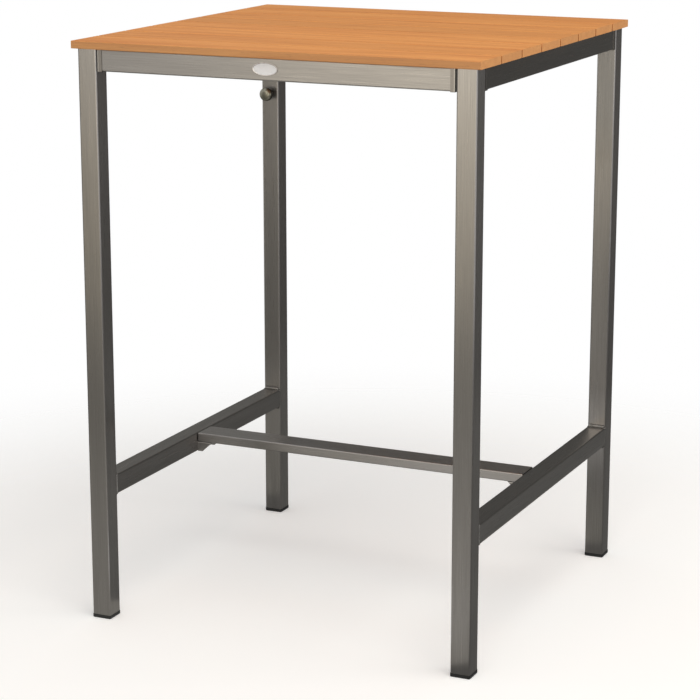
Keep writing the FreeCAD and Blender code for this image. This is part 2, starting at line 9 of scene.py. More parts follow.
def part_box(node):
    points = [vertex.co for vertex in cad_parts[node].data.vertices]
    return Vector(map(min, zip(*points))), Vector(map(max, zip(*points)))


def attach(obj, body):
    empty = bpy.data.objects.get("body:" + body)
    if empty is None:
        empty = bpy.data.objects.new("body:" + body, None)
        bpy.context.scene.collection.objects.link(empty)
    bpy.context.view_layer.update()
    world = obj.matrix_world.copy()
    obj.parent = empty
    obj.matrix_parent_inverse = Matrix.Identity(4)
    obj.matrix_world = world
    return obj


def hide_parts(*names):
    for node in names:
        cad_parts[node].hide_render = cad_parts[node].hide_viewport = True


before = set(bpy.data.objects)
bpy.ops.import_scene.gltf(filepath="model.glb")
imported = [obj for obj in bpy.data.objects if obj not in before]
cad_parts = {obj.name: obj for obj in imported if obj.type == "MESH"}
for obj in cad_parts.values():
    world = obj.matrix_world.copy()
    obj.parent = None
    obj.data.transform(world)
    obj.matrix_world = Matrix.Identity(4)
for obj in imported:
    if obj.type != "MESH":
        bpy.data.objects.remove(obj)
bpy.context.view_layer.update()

bl_info = {
    "name": "Pub Table",
    "version": (1, 0, 0),
    "blender": (4, 5, 0),
    "location": "View3D > Sidebar > Pub Table",
    "description": "Finishes, small fittings and studio of a slatted pub table",
    "category": "Object",
}

MM = 0.001
BODY = "root"
TO_FRONT = Matrix.Rotation(math.radians(90), 3, "X")  # stands a flat shape up, facing the front


def linear(hex_colour):
    """The linear RGB values of an sRGB hex colour."""
    channels = [int(hex_colour[i : i + 2], 16) / 255 for i in (1, 3, 5)]
    return [c / 12.92 if c <= 0.04045 else ((c + 0.055) / 1.055) ** 2.4 for c in channels]


# ---------------------------------------------------------------- settings


class StudioSettings(bpy.types.PropertyGroup):
    """Camera, light and floor"""

    lens: FloatProperty(
        name="Lens",
        description="Focal length of the camera",
        default=118.72,
        unit="CAMERA",
    )
    camera_place: FloatVectorProperty(
        name="Camera place",
        description="Where the camera stands, from the middle of the floor",
        default=(1.7961, -3.9796, 1.5424),
        subtype="TRANSLATION",
    )
    camera_turn: FloatProperty(
        name="Camera turn",
        description="How far the camera turns to the left of straight ahead",
        default=math.radians(24.577),
        subtype="ANGLE",
    )
    camera_dip: FloatProperty(
        name="Camera dip",
        description="How far the camera looks down",
        default=math.radians(13.688),
        subtype="ANGLE",
    )
    floor_colour: FloatVectorProperty(
        name="Floor colour",
        description="Colour of the floor",
        default=linear("#F4F3F1"),
        subtype="COLOR",
    )
    floor_radius: FloatProperty(
        name="Floor radius",
        description="Where the floor has faded into the background",
        default=1.9,
        subtype="DISTANCE",
    )
    floor_lift: FloatProperty(
        name="Floor lift",
        description="How much lighter the floor looks than its lamps make it",
        default=0.24,
    )
    ambient: FloatProperty(
        name="Ambient light",
        description="Strength of the light from all around on matt surfaces",
        default=0.55,
    )


class SteelSettings(bpy.types.PropertyGroup):
    """The brushed tubes"""

    light_colour: FloatVectorProperty(
        name="Light streaks",
        description="Colour of the lighter scratches",
        default=linear("#9C9997"),
        subtype="COLOR",
    )
    dark_colour: FloatVectorProperty(
        name="Dark streaks",
        description="Colour of the darker scratches",
        default=linear("#8E8B89"),
        subtype="COLOR",
    )
    scratch_width: FloatProperty(
        name="Scratch width",
        description="Spacing of the brushed lines",
        default=1.3 * MM,
        subtype="DISTANCE",
    )
    scratch_length: FloatProperty(
        name="Scratch length",
        description="Length of the brushed lines",
        default=110 * MM,
        subtype="DISTANCE",
    )


class WoodSettings(bpy.types.PropertyGroup):
    """The slats and battens"""

    light_colour: FloatVectorProperty(
        name="Early wood",
        description="Colour of the pale bands",
        default=linear("#ECA256"),
        subtype="COLOR",
    )
    dark_colour: FloatVectorProperty(
        name="Late wood",
        description="Colour of the dark bands",
        default=linear("#CC7D3B"),
        subtype="COLOR",
    )
    pore_colour: FloatVectorProperty(
        name="Pores",
        description="Colour of the pores",
        default=linear("#935628"),
        subtype="COLOR",
    )
    end_colour: FloatVectorProperty(
        name="End grain",
        description="Colour of the sawn ends",
        default=linear("#DDA067"),
        subtype="COLOR",
    )
    edge_colour: FloatVectorProperty(
        name="Outer edges",
        description="Colour of the top's long outer edges",
        default=linear("#C39365"),
        subtype="COLOR",
    )
    # painted shade: a dark reddish tint on the board sides inside the gaps
    gap_shade_colour: FloatVectorProperty(
        name="Gap sides",
        description="Tint of the sides in the gaps",
        default=linear("#DDC3B0"),
        subtype="COLOR",
    )
    grain_width: FloatProperty(
        name="Grain width",
        description="Spacing of the growth bands",
        default=14 * MM,
        subtype="DISTANCE",
    )
    grain_length: FloatProperty(
        name="Grain length",
        description="How far a band runs before it fades",
        default=420 * MM,
        subtype="DISTANCE",
    )


class FittingSettings(bpy.types.PropertyGroup):
    """Oval plate, welds and screws"""

    badge_length: FloatProperty(
        name="Plate length",
        description="Long axis of the oval plate",
        default=48.8 * MM,
        subtype="DISTANCE",
    )
    badge_height: FloatProperty(
        name="Plate height",
        description="Short axis of the oval plate",
        default=23.4 * MM,
        subtype="DISTANCE",
    )
    badge_thickness: FloatProperty(
        name="Plate thickness",
        description="Thickness of the oval plate",
        default=1.2 * MM,
        subtype="DISTANCE",
    )
    ripple_pitch: FloatProperty(
        name="Weld ripple",
        description="Distance between the weld's ripples",
        default=1.6 * MM,
        subtype="DISTANCE",
    )
    wood_screw_diameter: FloatProperty(
        name="Wood screw",
        description="Head diameter of the countersunk screws",
        default=8 * MM,
        subtype="DISTANCE",
    )
    angle_screw_diameter: FloatProperty(
        name="Angle screw",
        description="Head diameter of the pan-head screws",
        default=6.4 * MM,
        subtype="DISTANCE",
    )


# ---------------------------------------------------------------- materials


def add_node(tree, kind, values=None, links=None, stops=None, **settings):
    """Adds a node with its properties, its sockets' values and links, and a ramp's two stops."""
    made = tree.nodes.new(kind)
    for name, value in settings.items():
        setattr(made, name, value)
    for socket, value in (values or {}).items():
        made.inputs[socket].default_value = value
    for socket, source in (links or {}).items():
        tree.links.new(source, made.inputs[socket])
    if stops:
        for element, (position, colour) in zip(made.color_ramp.elements, stops):
            element.position = position
            element.color = (*colour, 1.0)
    return made


def new_material(name):
    """An emptied node material, with its tree and the socket that takes its surface."""
    material = bpy.data.materials.get(name) or bpy.data.materials.new(name)
    material.use_nodes = True
    tree = material.node_tree
    tree.nodes.clear()
    output = add_node(tree, "ShaderNodeOutputMaterial")
    return material, tree, output.inputs["Surface"]


def streaks(tree, place, axis, length, width, values):
    """A noise pattern whose spots are as long as given on one axis, and as wide across it."""
    sizes = [length if letter == axis else width for letter in "xyz"]
    scale = [1 / size for size in sizes]
    drawn_out = add_node(tree, "ShaderNodeMapping", {"Scale": scale}, {"Vector": place})
    noise = add_node(
        tree,
        "ShaderNodeTexNoise",
        {"Scale": 1.0, **values},
        {"Vector": drawn_out.outputs["Vector"]},
    )
    return noise.outputs["Fac"]


def join_surface(tree, surface, colour, gloss, relief, values, links=None):
    """Joins colour, gloss and relief in one shader.

    The gloss is a pattern with the roughness of its low and its high spots, and the relief a
    pattern with the bump's strength and its depth.
    """
    pattern, low, high = gloss
    roughness = add_node(
        tree,
        "ShaderNodeMapRange",
        {"From Min": 0.3, "From Max": 0.7, "To Min": low, "To Max": high},
        {"Value": pattern},
    )
    pattern, strength, depth = relief
    bump = add_node(
        tree,
        "ShaderNodeBump",
        {"Strength": strength, "Distance": depth},
        {"Height": pattern},
    )
    shader = add_node(
        tree,
        "ShaderNodeBsdfPrincipled",
        values,
        {
            "Base Color": colour,
            "Roughness": roughness.outputs["Result"],
            "Normal": bump.outputs["Normal"],
            **(links or {}),
        },
    )
    tree.links.new(shader.outputs["BSDF"], surface)


def brushed_steel(axis):
    """Stainless steel tube, belt-ground along its length to a satin finish.

    The grit leaves long shallow scratches, so a lamp is drawn out across them and the
    face goes from light to dark in a soft slope. Each pass of the belt leaves a broad band
    that is a little lighter or darker. Real scratches are 0.1 mm wide; they are drawn
    1.3 mm wide, as fine as the render can show.
    """
    settings = bpy.context.scene.pub_table_steel
    material, tree, surface = new_material("stainless_steel_satin_brushed_" + axis)
    place = add_node(tree, "ShaderNodeTexCoord").outputs["Object"]
    length, width = settings.scratch_length, settings.scratch_width
    scratches = streaks(tree, place, axis, length, width, {"Detail": 3.0, "Roughness": 0.62})
    length, width = 600 * MM, 30 * MM
    passes = streaks(tree, place, axis, length, width, {"Detail": 2.0, "Roughness": 0.5})
    colour = add_node(
        tree,
        "ShaderNodeValToRGB",
        links={"Fac": scratches},
        stops=[(0.3, settings.dark_colour), (0.7, settings.light_colour)],
    )
    tone = add_node(
        tree,
        "ShaderNodeMapRange",
        {"From Min": 0.3, "From Max": 0.7, "To Min": 0.92, "To Max": 1.06},
        {"Value": passes},
    )
    toned = add_node(
        tree,
        "ShaderNodeHueSaturation",
        links={"Color": colour.outputs["Color"], "Value": tone.outputs["Result"]},
    )
    # the direction is tipped by 2 degrees, so that a cut end which faces along it keeps one too
    direction = {letter.upper(): 1.0 if letter == axis else 0.03 for letter in "xyz"}
    tangent = add_node(tree, "ShaderNodeCombineXYZ", direction)
    join_surface(
        tree,
        surface,
        toned.outputs["Color"],
        gloss=(scratches, 0.36, 0.26),
        relief=(scratches, 0.16, 0.03 * MM),
        values={"Metallic": 1.0, "Anisotropic": 0.75, "Anisotropic Rotation": 0.25},
        links={"Tangent": tangent.outputs["Vector"]},
    )
    return material


def teak(axis, finish, saturation, roughness):
    """Teak boards with the grain along one axis, planed, and on the slats sanded and oiled too.

    Oil deepens the orange and leaves a low sheen, and bare wood is duller and paler. Growth
    bands are about 14 mm wide and run along the board, with short dark pores between them.
    Each board is cut from another place, so the pattern jumps at every gap. Real pores are
    0.3 mm wide; they are drawn 1.2 mm wide, as fine as the render can show.
    """
    settings = bpy.context.scene.pub_table_wood
    material, tree, surface = new_material(f"teak_{finish}_grain_{axis}")
    # where the boards start, how far apart they are, and how far out a side can be in a gap
    if axis == "x":
        across = "Y"
        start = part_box("slat_1")[0].y
        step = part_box("slat_2")[0].y - start
        gaps_end = -start - 4 * MM
    else:
        across = "X"
        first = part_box("batten_1")[0].x
        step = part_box("batten_2")[0].x - first
        start = first - step / 2
        gaps_end = 0.0
    place = add_node(tree, "ShaderNodeTexCoord").outputs["Object"]
    parts = add_node(tree, "ShaderNodeSeparateXYZ", links={"Vector": place})
    shifted = add_node(
        tree,
        "ShaderNodeMath",
        {1: start},
        {0: parts.outputs[across]},
        operation="SUBTRACT",
    )
    counted = add_node(
        tree,
        "ShaderNodeMath",
        {1: step},
        {0: shifted.outputs[0]},
        operation="DIVIDE",
    )
    board = add_node(tree, "ShaderNodeMath", links={0: counted.outputs[0]}, operation="FLOOR")
    draw = add_node(
        tree,
        "ShaderNodeTexWhiteNoise",
        links={"W": board.outputs[0]},
        noise_dimensions="1D",
    )
    moved = add_node(
        tree,
        "ShaderNodeVectorMath",
        links={0: place, 1: draw.outputs["Color"]},
        operation="ADD",
    ).outputs[0]
    bands = streaks(
        tree,
        moved,
        axis,
        settings.grain_length,
        settings.grain_width,
        {"Detail": 3.0, "Roughness": 0.55, "Distortion": 0.6},
    )
    length, width = 160 * MM, 2.6 * MM
    lines = streaks(tree, moved, axis, length, width, {"Detail": 2.0, "Roughness": 0.6})
    length, width = 16 * MM, 1.2 * MM
    pores = streaks(tree, moved, axis, length, width, {"Detail": 1.0, "Roughness": 0.5})
    figure = add_node(
        tree,
        "ShaderNodeMix",
        {"Factor": 0.35},
        {"A": bands, "B": lines},
    ).outputs["Result"]
    wood = add_node(
        tree,
        "ShaderNodeValToRGB",
        links={"Fac": figure},
        stops=[(0.34, settings.dark_colour), (0.62, settings.light_colour)],
    )
    pore_mask = add_node(
        tree,
        "ShaderNodeMapRange",
        {"From Min": 0.62, "From Max": 0.74, "To Min": 0.0, "To Max": 0.45},
        {"Value": pores},
    )
    pored = add_node(
        tree,
        "ShaderNodeMix",
        {"B": (*settings.pore_colour, 1.0)},
        {"Factor": pore_mask.outputs["Result"], "A": wood.outputs["Color"]},
        data_type="RGBA",
    )
    tone = add_node(
        tree,
        "ShaderNodeMapRange",
        {"To Min": 0.94, "To Max": 1.05},
        {"Value": draw.outputs["Value"]},
    )
    toned = add_node(
        tree,
        "ShaderNodeHueSaturation",
        {"Saturation": saturation},
        {"Color": pored.outputs["Result"], "Value": tone.outputs["Result"]},
    )
    join_surface(
        tree,
        surface,
        tint_sides(tree, toned.outputs["Color"], axis.upper(), across, gaps_end),
        gloss=(figure, roughness + 0.12, roughness),
        relief=(lines, 0.35, 0.12 * MM),
        values={"IOR": 1.45},
    )
    return material


def tint_sides(tree, colour, along, across, gaps_end):
    """Tints the ends and sides of a material's boards.

    Sawn ends are calmer and paler, the long outer edges a little greyer, and the sides in
    the gaps dark and reddish: painted shade, where the narrow gaps lie in shadow.
    """
    settings = bpy.context.scene.pub_table_wood
    coordinates = add_node(tree, "ShaderNodeTexCoord").outputs
    facing = add_node(
        tree,
        "ShaderNodeVectorMath",
        links={0: coordinates["Normal"]},
        operation="ABSOLUTE",
    )
    facing_parts = add_node(tree, "ShaderNodeSeparateXYZ", links={"Vector": facing.outputs[0]})
    end = add_node(
        tree,
        "ShaderNodeMapRange",
        {"From Min": 0.6, "From Max": 0.9, "To Max": 0.6},
        {"Value": facing_parts.outputs[along]},
    ).outputs["Result"]
    side = add_node(
        tree,
        "ShaderNodeMapRange",
        {"From Min": 0.6, "From Max": 0.9},
        {"Value": facing_parts.outputs[across]},
    ).outputs["Result"]
    parts = add_node(tree, "ShaderNodeSeparateXYZ", links={"Vector": coordinates["Object"]})
    offset = add_node(tree, "ShaderNodeMath", links={0: parts.outputs["Y"]}, operation="ABSOLUTE")
    within = add_node(
        tree,
        "ShaderNodeMath",
        {1: gaps_end},
        {0: offset.outputs[0]},
        operation="LESS_THAN",
    ).outputs[0]
    beyond = add_node(
        tree,
        "ShaderNodeMath",
        links={0: side, 1: within},
        operation="SUBTRACT",
        use_clamp=True,
    ).outputs[0]
    edge_share = 0.4
    edge = add_node(
        tree,
        "ShaderNodeMath",
        {1: edge_share},
        {0: beyond},
        operation="MULTIPLY",
    ).outputs[0]
    # painted shade on the board sides inside the gaps
    gap = add_node(
        tree,
        "ShaderNodeMath",
        links={0: side, 1: within},
        operation="MULTIPLY",
    ).outputs[0]
    for mask, tint, blend_type in (
        (end, settings.end_colour, "MIX"),
        (edge, settings.edge_colour, "MIX"),
        (gap, settings.gap_shade_colour, "MULTIPLY"),
    ):
        colour = add_node(
            tree,
            "ShaderNodeMix",
            {"B": (*tint, 1.0)},
            {"Factor": mask, "A": colour},
            data_type="RGBA",
            blend_type=blend_type,
        ).outputs["Result"]
    return colour


def mottled(name, colours, grit, roughness, relief_depth, values):
    """A finish whose colour, gloss and relief vary by a grit of the given size."""
    material, tree, surface = new_material(name)
    place = add_node(tree, "ShaderNodeTexCoord").outputs["Object"]
    grain = add_node(
        tree,
        "ShaderNodeTexNoise",
        {"Scale": 1 / grit, "Detail": 3.0, "Roughness": 0.55},
        {"Vector": place},
    ).outputs["Fac"]
    colour = add_node(
        tree,
        "ShaderNodeValToRGB",
        links={"Fac": grain},
        stops=[(0.35, linear(colours[0])), (0.65, linear(colours[1]))],
    )
    join_surface(
        tree,
        surface,
        colour.outputs["Color"],
        gloss=(grain, *roughness),
        relief=(grain, 0.4, relief_depth),
        values=values,
    )
    return material


def paint_beyond(material, start, full, hex_colour, corners=False):
    """Changes a finish's colour past a place on the Y axis.

    With corners it changes past one that is as far out on both the X and the Y axis.
    """
    tree = material.node_tree
    shader = next(node for node in tree.nodes if node.type == "BSDF_PRINCIPLED")
    place = add_node(tree, "ShaderNodeTexCoord").outputs["Object"]
    if corners:
        place = add_node(
            tree,
            "ShaderNodeVectorMath",
            links={0: place},
            operation="ABSOLUTE",
        ).outputs[0]
    parts = add_node(tree, "ShaderNodeSeparateXYZ", links={"Vector": place})
    measure = parts.outputs["Y"]
    if corners:
        measure = add_node(
            tree,
            "ShaderNodeMath",
            links={0: parts.outputs["X"], 1: measure},
            operation="MINIMUM",
        ).outputs[0]
    past = add_node(
        tree,
        "ShaderNodeMapRange",
        {"From Min": start, "From Max": full},
        {"Value": measure},
    )
    base = shader.inputs["Base Color"]
    colour = add_node(
        tree,
        "ShaderNodeMix",
        {"B": (*linear(hex_colour), 1.0)},
        {"Factor": past.outputs["Result"], "A": base.links[0].from_socket},
        data_type="RGBA",
    )
    tree.links.new(colour.outputs["Result"], base)


def black_nylon():
    """Glass-filled nylon, injection moulded: near black and dull, with a fine eroded texture.

    Its real pits are 0.1 mm wide; they are drawn 1.2 mm wide, as fine as the render can show.
    """
    return mottled(
        "nylon_black_moulded",
        ("#0F0F10", "#1B1B1C"),
        grit=1.2 * MM,
        roughness=(0.42, 0.58),
        relief_depth=0.03 * MM,
        values={"IOR": 1.53},
    )


def headed_stainless():
    """Stainless steel of bolts, screws and angles, cold-headed or pressed: pale and cloudy."""
    return mottled(
        "stainless_steel_cold_headed",
        ("#8F8F8E", "#ABAAA8"),
        grit=3 * MM,
        roughness=(0.28, 0.42),
        relief_depth=0.01 * MM,
        values={"Metallic": 1.0},
    )


def weld_bead():
    """Stainless weld metal, wire-brushed: rippled, duller than the tubes, in soft light spots."""
    return mottled(
        "stainless_weld_wire_brushed",
        ("#6B6A68", "#8F8D8A"),
        grit=4 * MM,
        roughness=(0.38, 0.55),
        relief_depth=0.12 * MM,
        values={"Metallic": 1.0},
    )


def cap_steel():
    """Stainless end cap, bead-blasted, with a painted highlight along its end plate's edge.

    The blasted sleeve is a shade darker than the tube and has no brushed lines; the plate's
    edge is a thin line beside the leg, painted as light as the tube: a painted highlight where
    the rounded edge catches the light.
    Real blasting dents are 0.2 mm wide; they are drawn 1.5 mm wide, so that they show.
    """
    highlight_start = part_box("apron_front")[1].x + 1.2 * MM
    highlight_full = highlight_start + 0.4 * MM
    material = mottled(
        "stainless_cap_bead_blasted",
        ("#777370", "#888582"),
        grit=1.5 * MM,
        roughness=(0.3, 0.42),
        relief_depth=0.03 * MM,
        values={"Metallic": 1.0},
    )
    # painted highlight: the end plate's edge beside the leg is painted lighter
    paint_beyond(material, highlight_start, highlight_full, "#9B9895", corners=True)
    return material


def knob_steel_painted_shade():
    """Turned olive-grey steel knob, painted near black behind its face: painted shade on its
    sides and back.
    """
    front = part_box("bag_knob")[0].y
    shade_start, shade_full = front + 3 * MM, front + 6 * MM
    material = mottled(
        "steel_olive_grey_painted_shade",
        ("#7A786C", "#8E8B7F"),
        grit=3 * MM,
        roughness=(0.3, 0.37),
        relief_depth=0.02 * MM,
        values={"Metallic": 1.0},
    )
    # painted shade: from 3 mm behind its face the knob is painted near black
    paint_beyond(material, shade_start, shade_full, "#3F3D38")
    return material


def badge_enamel():
    """Stove enamel on a small plate: off-white, smooth and glossy, with a slight orange-peel."""
    return mottled(
        "enamel_white_stoved",
        ("#F7F5F3", "#FAF8F7"),
        grit=4 * MM,
        roughness=(0.23, 0.28),
        relief_depth=0.008 * MM,
        values={"IOR": 1.52},
    )


def badge_rim():
    """Aluminium rim of the plate, coined and polished: bright, with soft cloudy reflections."""
    return mottled(
        "aluminium_coined_polished",
        ("#B3AFAF", "#C6C2C2"),
        grit=2 * MM,
        roughness=(0.22, 0.34),
        relief_depth=0.01 * MM,
        values={"Metallic": 1.0},
    )


# ---------------------------------------------------------------- pieces


def nodes_named(*starts):
    """The packed nodes whose names start in one of these ways."""
    return [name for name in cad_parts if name.startswith(starts)]


def dress(nodes, material):
    """Gives packed nodes their material."""
    for name in nodes:
        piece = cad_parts[name]
        piece.data.materials.clear()
        piece.data.materials.append(material)


def new_object(name, shape, materials):
    """Turns a bmesh into an object of the scene."""
    mesh = bpy.data.meshes.new(name)
    shape.to_mesh(mesh)
    shape.free()
    for material in materials:
        mesh.materials.append(material)
    made = bpy.data.objects.new(name, mesh)
    bpy.context.scene.collection.objects.link(made)
    return made


def keep_piece(name, shape, materials, replaced=()):
    """Turns a bmesh into a piece that rides on the table."""
    piece = new_object(name, shape, materials)
    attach(piece, BODY)
    if replaced:
        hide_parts(*replaced)


def made_parts(made, kind):
    """The verts or the edges in what an operator made."""
    return [part for part in made["geom"] if isinstance(part, kind)]


def raise_ring(shape, edges, rise, spread):
    """Extrudes a ring of edges along Z, widens it, and gives the new ring's edges."""
    made = bmesh.ops.extrude_edge_only(shape, edges=edges)
    verts = made_parts(made, bmesh.types.BMVert)
    bmesh.ops.translate(shape, verts=verts, vec=(0, 0, rise))
    bmesh.ops.scale(shape, verts=verts, vec=(spread, spread, 1))
    return made_parts(made, bmesh.types.BMEdge)


def smooth_faces(shape):
    """Shades all faces of a shape smooth."""
    for face in shape.faces:
        face.smooth = True


def part_mesh(shape):
    """Turns a bmesh into a mesh for copies."""
    part = bpy.data.meshes.new("part")
    shape.to_mesh(part)
    shape.free()
    return part


def add_copy(shape, part, place, out):
    """Adds a copy of a part, which was made upright at the origin, and turns it outwards."""
    turn = Vector((0, 0, 1)).rotation_difference(out).to_matrix().to_4x4()
    copy = part.copy()
    copy.transform(Matrix.Translation(place) @ turn)
    shape.from_mesh(copy)
    bpy.data.meshes.remove(copy)


class PUBTABLE_OT_frame(bpy.types.Operator):
    """Brushed steel on the legs, rails, crossbar, aprons and brackets"""

    bl_idname = "pub_table.frame"
    bl_label = "Brushed Frame"

    def execute(self, context):
        for axis, nodes in (
            ("z", nodes_named("leg_", "crossbar_bracket_")),
            ("x", ["apron_front", "apron_back", "crossbar"]),
            ("y", ["apron_left", "apron_right", "side_rail_left", "side_rail_right"]),
        ):
            dress(nodes, brushed_steel(axis))
        return {"FINISHED"}


class PUBTABLE_OT_joints(bpy.types.Operator):
    """Caps, spacers and bolts that join the aprons to the legs, and the crossbar's bolts"""

    bl_idname = "pub_table.joints"
    bl_label = "Apron Joints"

    def execute(self, context):
        dress(nodes_named("apron_cap_"), cap_steel())
        dress(["joint_spacers"], black_nylon())
        dress(["apron_bolts", "crossbar_bolts"], headed_stainless())
        return {"FINISHED"}


def weld_rod(length, radius, pitch):
    """An upright rippled rod of weld metal, thicker where the welder paused."""
    steps = 4  # rings in a ripple
    tip, waist, ripple, pause = 0.75, 0.82, 0.12, 0.06  # shares of the radius
    fullness = 0.6  # under 1, a ripple is round with a narrow valley
    count = round(length / pitch) * steps
    shape = bmesh.new()
    bmesh.ops.create_circle(shape, segments=12, radius=radius * tip, cap_ends=False)
    edges = list(shape.edges)
    bmesh.ops.edgeloop_fill(shape, edges=edges)
    previous = tip
    for index in range(1, count + 1):
        phase = (index % steps) / steps
        swell = waist + ripple * math.sin(math.pi * phase) ** fullness
        swell += pause * math.sin(math.tau * (0.1 + 2 * index / count))
        if index in (1, count):
            swell = tip
        edges = raise_ring(shape, edges, length / count, swell / previous)
        previous = swell
    bmesh.ops.edgeloop_fill(shape, edges=edges)
    bmesh.ops.recalc_face_normals(shape, faces=shape.faces)
    smooth_faces(shape)
    return part_mesh(shape)


class PUBTABLE_OT_welds(bpy.types.Operator):
    """Rippled weld beads round the ends of the side rails"""

    bl_idname = "pub_table.welds"
    bl_label = "Weld Beads"

    def execute(self, context):
        pitch = context.scene.pub_table_fittings.ripple_pitch
        flat_radius, upright_radius = 3.6 * MM, 2.4 * MM
        # a flat bead's middle is this far off both tubes; an upright one is sunk in the rail
        flat_off = 1.5 * MM
        upright_off, upright_sunk = 1.1 * MM, 1.5 * MM
        for side in ("left", "right"):
            low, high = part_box("side_rail_" + side)
            weld_low, weld_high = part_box("rail_welds_" + side)
            flat = weld_rod(weld_high.x - weld_low.x, flat_radius, pitch)
            upright = weld_rod(high.z - low.z, upright_radius, pitch)
            shape = bmesh.new()
            for end in (low.y, high.y):
                inward = -math.copysign(1.0, end)
                for level, up in ((high.z, 1.0), (low.z, -1.0)):
                    start = Vector((weld_low.x, end + inward * flat_off, level + up * flat_off))
                    add_copy(shape, flat, start, Vector((1, 0, 0)))
                for face, outward in ((high.x, 1.0), (low.x, -1.0)):
                    x = face - outward * upright_sunk
                    start = Vector((x, end + inward * upright_off, low.z))
                    add_copy(shape, upright, start, Vector((0, 0, 1)))
            bpy.data.meshes.remove(flat)
            bpy.data.meshes.remove(upright)
            name, replaced = "weld_beads_" + side, "rail_welds_" + side
            keep_piece(name, shape, [weld_bead()], [replaced])
        return {"FINISHED"}


class PUBTABLE_OT_top(bpy.types.Operator):
    """Oiled teak on the slats, bare teak on the battens, steel on the angles under them"""

    bl_idname = "pub_table.top"
    bl_label = "Slatted Top"

    def execute(self, context):
        oiled = teak("x", "oiled", saturation=1.0, roughness=0.5)
        planed = teak("y", "planed", saturation=0.9, roughness=0.66)
        dress(nodes_named("slat_"), oiled)
        dress(nodes_named("batten_"), planed)
        dress(["top_angles"], headed_stainless())
        return {"FINISHED"}


class PUBTABLE_OT_glides(bpy.types.Operator):
    """Black nylon on the plugs under the legs"""

    bl_idname = "pub_table.glides"
    bl_label = "Glides"

    def execute(self, context):
        dress(nodes_named("glide_"), black_nylon())
        return {"FINISHED"}


def knob_outline(radius, length):
    """Radius and depth of a turned knob's outline, from the middle of its face to the leg."""
    head = 0.62 * length
    widest = 0.45 * head
    neck = 0.5 * radius
    fillet = 0.16 * radius
    foot = 0.04 * radius
    # each curve's middle, its half axes, how square it is, and its angles from the front
    curves = (
        ((0.0, widest), (radius, widest), 2.7, 0, 90),
        ((0.0, widest), (radius, head - widest), 3.2, 90, 150),
        ((neck + fillet, 0.77 * length), (fillet, 0.16 * length), 2.0, 0, -90),
        ((neck + foot, 0.92 * length), (foot, 0.08 * length), 2.0, -90, -180),
    )
    steps = 6
    outline = []
    for middle, half, squareness, start, end in curves:
        for index in range(steps + 1):
            angle = math.radians(start + (end - start) * index / steps)
            out, ahead = math.sin(angle), math.cos(angle)
            outline.append((
                middle[0] + half[0] * math.copysign(abs(out) ** (2 / squareness), out),
                middle[1] - half[1] * math.copysign(abs(ahead) ** (2 / squareness), ahead),
            ))
    return outline


class PUBTABLE_OT_knob(bpy.types.Operator):
    """Turned knob on the back left leg"""

    bl_idname = "pub_table.knob"
    bl_label = "Bag Knob"

    def execute(self, context):
        low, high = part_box("bag_knob")
        middle = (low + high) / 2
        front = low.y
        outline = knob_outline((high.x - low.x) / 2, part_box("leg_back_left")[0].y - front)
        # the stud goes on into the nut in the leg
        stud_radius = 4 * MM
        stud_end = high.y - front
        outline += [(stud_radius, outline[-1][1]), (stud_radius, stud_end), (0.0, stud_end)]
        shape = bmesh.new()
        verts = []
        for out, depth in outline:
            verts.append(shape.verts.new((middle.x + out, front + depth, middle.z)))
        edges = [shape.edges.new(pair) for pair in zip(verts, verts[1:])]
        bmesh.ops.spin(
            shape,
            geom=verts + edges,
            cent=(middle.x, front, middle.z),
            axis=(0, 1, 0),
            angle=math.tau,
            steps=56,
            use_merge=True,
        )
        bmesh.ops.remove_doubles(shape, verts=shape.verts, dist=0.001 * MM)
        bmesh.ops.recalc_face_normals(shape, faces=shape.faces)
        smooth_faces(shape)
        keep_piece("turned_bag_knob", shape, [knob_steel_painted_shade()], ["bag_knob"])
        return {"FINISHED"}


class PUBTABLE_OT_badge(bpy.types.Operator):
    """Bare oval plate on the front apron"""

    bl_idname = "pub_table.badge"
    bl_label = "Oval Plate"

    def execute(self, context):
        settings = context.scene.pub_table_fittings
        low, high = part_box("apron_front")
        left_of_middle, above_middle = 10 * MM, 0.6 * MM
        rim_round, rim_width = 0.4 * MM, 1.1 * MM
        slope_width, enamel_depth, border_width = 0.25 * MM, 0.3 * MM, 0.1 * MM
        centre = Vector((-left_of_middle, low.y, (low.z + high.z) / 2 + above_middle))
        half_axes = (settings.badge_length / 2, settings.badge_height / 2, 1)
        shape = bmesh.new()
        bmesh.ops.create_circle(shape, cap_ends=True, radius=1.0, segments=96)
        bmesh.ops.scale(shape, verts=shape.verts, vec=half_axes)
        bmesh.ops.rotate(shape, verts=shape.verts, cent=(0, 0, 0), matrix=TO_FRONT)
        bmesh.ops.translate(shape, verts=shape.verts, vec=centre)
        pushed = bmesh.ops.extrude_face_region(shape, geom=list(shape.faces))
        front = made_parts(pushed, bmesh.types.BMVert)
        bmesh.ops.translate(shape, verts=front, vec=(0, -settings.badge_thickness, 0))
        bmesh.ops.recalc_face_normals(shape, faces=shape.faces)
        bmesh.ops.bevel(
            shape,
            geom=[edge for edge in shape.edges if all(vert in front for vert in edge.verts)],
            offset=rim_round,
            offset_type="OFFSET",
            segments=3,
            profile=0.5,
            affect="EDGES",
            material=-1,
        )
        face = min(shape.faces, key=lambda f: (f.calc_center_median().y, -f.calc_area()))
        for width, depth in (
            (rim_width, 0.0),
            (slope_width, enamel_depth),
            (border_width, 0.0),
        ):
            bmesh.ops.inset_individual(shape, faces=[face], thickness=width, depth=-depth)
        face.material_index = 1
        smooth_faces(shape)
        face.smooth = False
        keep_piece("oval_plate", shape, [badge_rim(), badge_enamel()])
        return {"FINISHED"}


